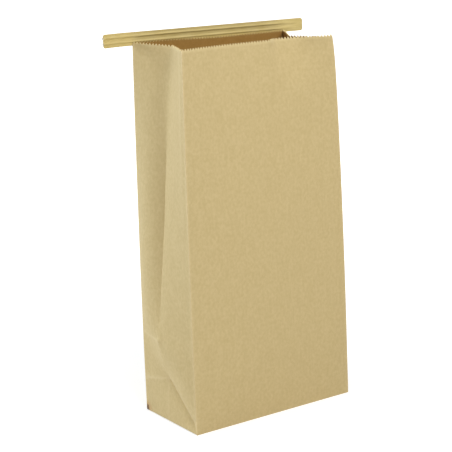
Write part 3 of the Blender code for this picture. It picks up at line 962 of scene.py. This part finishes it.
def with_dark_spot(nodes, base, mottle):
    """The paper's colour with the ragged dark spot at the back left foot."""
    from_dark_spot = nodes.add("ShaderNodeVectorMath",
                           {0: nodes.place((1, 1, 1)), 1: DARK_SPOT_AT},
                           operation="DISTANCE")
    ragged = nodes.spread(mottle, 0.3, 0.7, 0.0, DARK_SPOT_RAGGED)
    away = nodes.add("ShaderNodeMath", {0: ragged, 1: from_dark_spot.outputs["Value"]},
                     operation="ADD").outputs[0]
    halo = nodes.spread(away, HALO_FULL, HALO_GONE, HALO_SHARE, 0.0)
    spot = nodes.spread(away, SPOT_FULL, SPOT_GONE, SPOT_SHARE, 0.0)
    return nodes.mix(spot, nodes.mix(halo, base, HALO_COLOUR), SPOT_COLOUR)


def kraft_paper(name, colour, tip_highlights, tip_highlight_share, sheen):
    """Uncoated kraft: mottle, upright streaks, a painted highlight on the tooth tips,
    and creases paler from wear and from a painted highlight.
    """
    nodes = Nodes(name, 0.8)
    blotch = nodes.noise((1, 1, 0.7), 130, 2)
    mottle = nodes.noise((1, 1, 0.8), 560, 3, 0.6)
    streaks = nodes.noise((1, 1, 0.06), 900, 2)
    fibres = nodes.noise((1, 1, 0.4), 2200, 3, 0.6)
    base = nodes.mix(nodes.spread(mottle, 0.36, 0.64, 0.0, 1.0),
                     toned(colour, MOTTLE_DARK), toned(colour, MOTTLE_PALE))
    base = nodes.mix(nodes.spread(blotch, 0.40, 0.68, 0.0, BLOTCH_SHARE),
                     base, toned(colour, BLOTCH_DARK))
    base = nodes.mix(nodes.spread(streaks, 0.50, 0.72, 0.0, STREAK_SHARE),
                     base, toned(colour, STREAK_PALE))
    # A painted highlight on the tooth tips
    tip = nodes.add("ShaderNodeAttribute", attribute_name="tip").outputs["Fac"]
    base = nodes.mix(nodes.spread(tip, 0.0, 1.0, 0.0, tip_highlight_share), base, (*tip_highlights, 1))
    # Creases paler: worn fibres with a painted highlight where the folds catch light
    worn_and_highlit = nodes.add("ShaderNodeAttribute", attribute_name="worn_and_highlit").outputs["Fac"]
    base = nodes.mix(nodes.spread(worn_and_highlit, 0.0, 1.0, 0.0, WORN_AND_HIGHLIT_SHARE),
                     base, toned(colour, WORN_AND_HIGHLIT_PALE))
    nodes.link(with_dark_spot(nodes, base, mottle), "Base Color")
    nodes.shader.inputs["Sheen Weight"].default_value = sheen
    nodes.shader.inputs["Sheen Roughness"].default_value = 0.45
    nodes.shader.inputs["Specular IOR Level"].default_value = 0.25
    height = nodes.add("ShaderNodeMath", {0: fibres, 1: mottle}, operation="ADD")
    bump = nodes.add("ShaderNodeBump", {"Height": height.outputs[0],
                                        "Strength": 0.30, "Distance": 0.00015})
    nodes.link(bump.outputs["Normal"], "Normal")
    return nodes.material


def tie_paper():
    """Golden kraft of the tie strip, a little glossy, grain along the strip."""
    nodes = Nodes("golden kraft strip", 0.55)
    grain = nodes.noise((0.06, 1, 1), 1600, 3)
    mottle = nodes.noise((0.5, 1, 1), 160, 3)
    base = nodes.mix(nodes.spread(grain, 0.35, 0.65, 0.0, 1.0),
                     (0.53, 0.405, 0.135, 1), (0.64, 0.505, 0.195, 1))
    base = nodes.mix(nodes.spread(mottle, 0.4, 0.6, 0.0, 0.25), base,
                     (0.66, 0.55, 0.25, 1))
    nodes.link(base, "Base Color")
    bump = nodes.add("ShaderNodeBump", {"Height": grain, "Strength": 0.2,
                                        "Distance": 0.0001})
    nodes.link(bump.outputs["Normal"], "Normal")
    return nodes.material


def tie_steel():
    """Soft steel wire, its drawn grain along the wire."""
    nodes = Nodes("soft steel wire", 0.35)
    nodes.shader.inputs["Metallic"].default_value = 1.0
    drawn = nodes.noise((0.02, 1, 1), 4000, 2)
    base = nodes.mix(drawn, (0.40, 0.40, 0.41, 1), (0.62, 0.62, 0.63, 1))
    nodes.link(base, "Base Color")
    return nodes.material


def add_stage():
    """A wide pale floor that keeps the bag's shadow."""
    nodes = Nodes("floor", 0.9)
    nodes.shader.inputs["Base Color"].default_value = FLOOR_COLOUR
    seen = nodes.add("ShaderNodeLightPath")
    direct = nodes.add("ShaderNodeMath", {0: seen.outputs["Is Camera Ray"],
                                          1: seen.outputs["Is Glossy Ray"]},
                       operation="MAXIMUM")
    span = nodes.add("ShaderNodeVectorMath", {0: nodes.place((1, 1, 1))},
                     operation="LENGTH")
    level = nodes.spread(span.outputs["Value"], SHADE_REACH, SHADE_GONE,
                         SHADE_LEVEL, 1.0)
    glow = nodes.add("ShaderNodeMath", {0: level, 1: direct.outputs[0]},
                     operation="MULTIPLY")
    nodes.shader.inputs["Emission Color"].default_value = WHITE
    nodes.link(glow.outputs[0], "Emission Strength")
    bm = bmesh.new()
    bmesh.ops.create_grid(bm, x_segments=1, y_segments=1, size=FLOOR_REACH)
    mesh = bpy.data.meshes.new("floor")
    bm.to_mesh(mesh)
    bm.free()
    mesh.materials.append(nodes.material)
    floor = bpy.data.objects.new("floor", mesh)
    bpy.context.collection.objects.link(floor)


def add_world():
    """Even light all round; what the camera sees of it is white."""
    world = bpy.data.worlds.new("studio")
    bpy.context.scene.world = world
    world.use_nodes = True
    tree = world.node_tree
    background = tree.nodes["Background"]
    background.inputs["Strength"].default_value = WORLD_LEVEL
    background.inputs["Color"].default_value = WHITE
    seen = tree.nodes.new("ShaderNodeBackground")
    seen.inputs["Strength"].default_value = 1.0
    seen.inputs["Color"].default_value = WHITE
    path = tree.nodes.new("ShaderNodeLightPath")
    either = tree.nodes.new("ShaderNodeMath")
    either.operation = "MAXIMUM"
    tree.links.new(path.outputs["Is Camera Ray"], either.inputs[0])
    tree.links.new(path.outputs["Is Glossy Ray"], either.inputs[1])
    mix = tree.nodes.new("ShaderNodeMixShader")
    tree.links.new(either.outputs[0], mix.inputs[0])
    tree.links.new(background.outputs[0], mix.inputs[1])
    tree.links.new(seen.outputs[0], mix.inputs[2])
    tree.links.new(mix.outputs[0], tree.nodes["World Output"].inputs["Surface"])


def add_area(name, place, size, power, colour=(1, 1, 1)):
    """A square lamp that faces the middle of the bag."""
    data = bpy.data.lights.new(name, "AREA")
    data.size = size
    data.energy = power
    data.color = colour
    lamp = bpy.data.objects.new(name, data)
    bpy.context.collection.objects.link(lamp)
    lamp.location = place
    way = Vector((0, 0, HEIGHT / 2)) - Vector(place)
    lamp.rotation_euler = way.to_track_quat("-Z", "Y").to_euler()


def add_camera():
    """The photo's view of the bag."""
    az, el, roll = CAMERA_AZIMUTH, CAMERA_ELEVATION, CAMERA_ROLL
    back = Vector((math.sin(az) * math.cos(el), -math.cos(az) * math.cos(el),
                   math.sin(el)))
    level = Vector((math.cos(az), math.sin(az), 0))
    upright = back.cross(level)
    right = level * math.cos(roll) + upright * math.sin(roll)
    up = upright * math.cos(roll) - level * math.sin(roll)
    place = Vector((0, 0, HEIGHT / 2)) + level * AIM_ACROSS + back * CAMERA_DISTANCE
    data = bpy.data.cameras.new("camera")
    data.sensor_width = SENSOR_MM
    data.lens = CAMERA_LENS_MM
    data.clip_start = NEAREST_SEEN
    camera = bpy.data.objects.new("camera", data)
    bpy.context.collection.objects.link(camera)
    camera.matrix_world = Matrix((
        (right.x, up.x, back.x, place.x),
        (right.y, up.y, back.y, place.y),
        (right.z, up.z, back.z, place.z),
        (0, 0, 0, 1)))
    bpy.context.scene.camera = camera


def dress_wires():
    """Give the frame's own wires their look; the strip's plies lie over them."""
    steel = tie_steel()
    for name in ("tie_wire_lower", "tie_wire_upper"):
        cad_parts[name].data.materials.clear()
        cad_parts[name].data.materials.append(steel)


def main():
    bpy.context.scene.view_settings.view_transform = "Standard"
    add_camera()
    build_bag([kraft_paper(*paper) for paper in PAPERS])
    build_tie(tie_paper())
    dress_wires()
    add_stage()
    add_world()
    add_area("key", KEY_AT, KEY_SIZE, KEY_POWER, KEY_COLOUR)
    add_area("fill", FILL_AT, FILL_SIZE, FILL_POWER)


main()
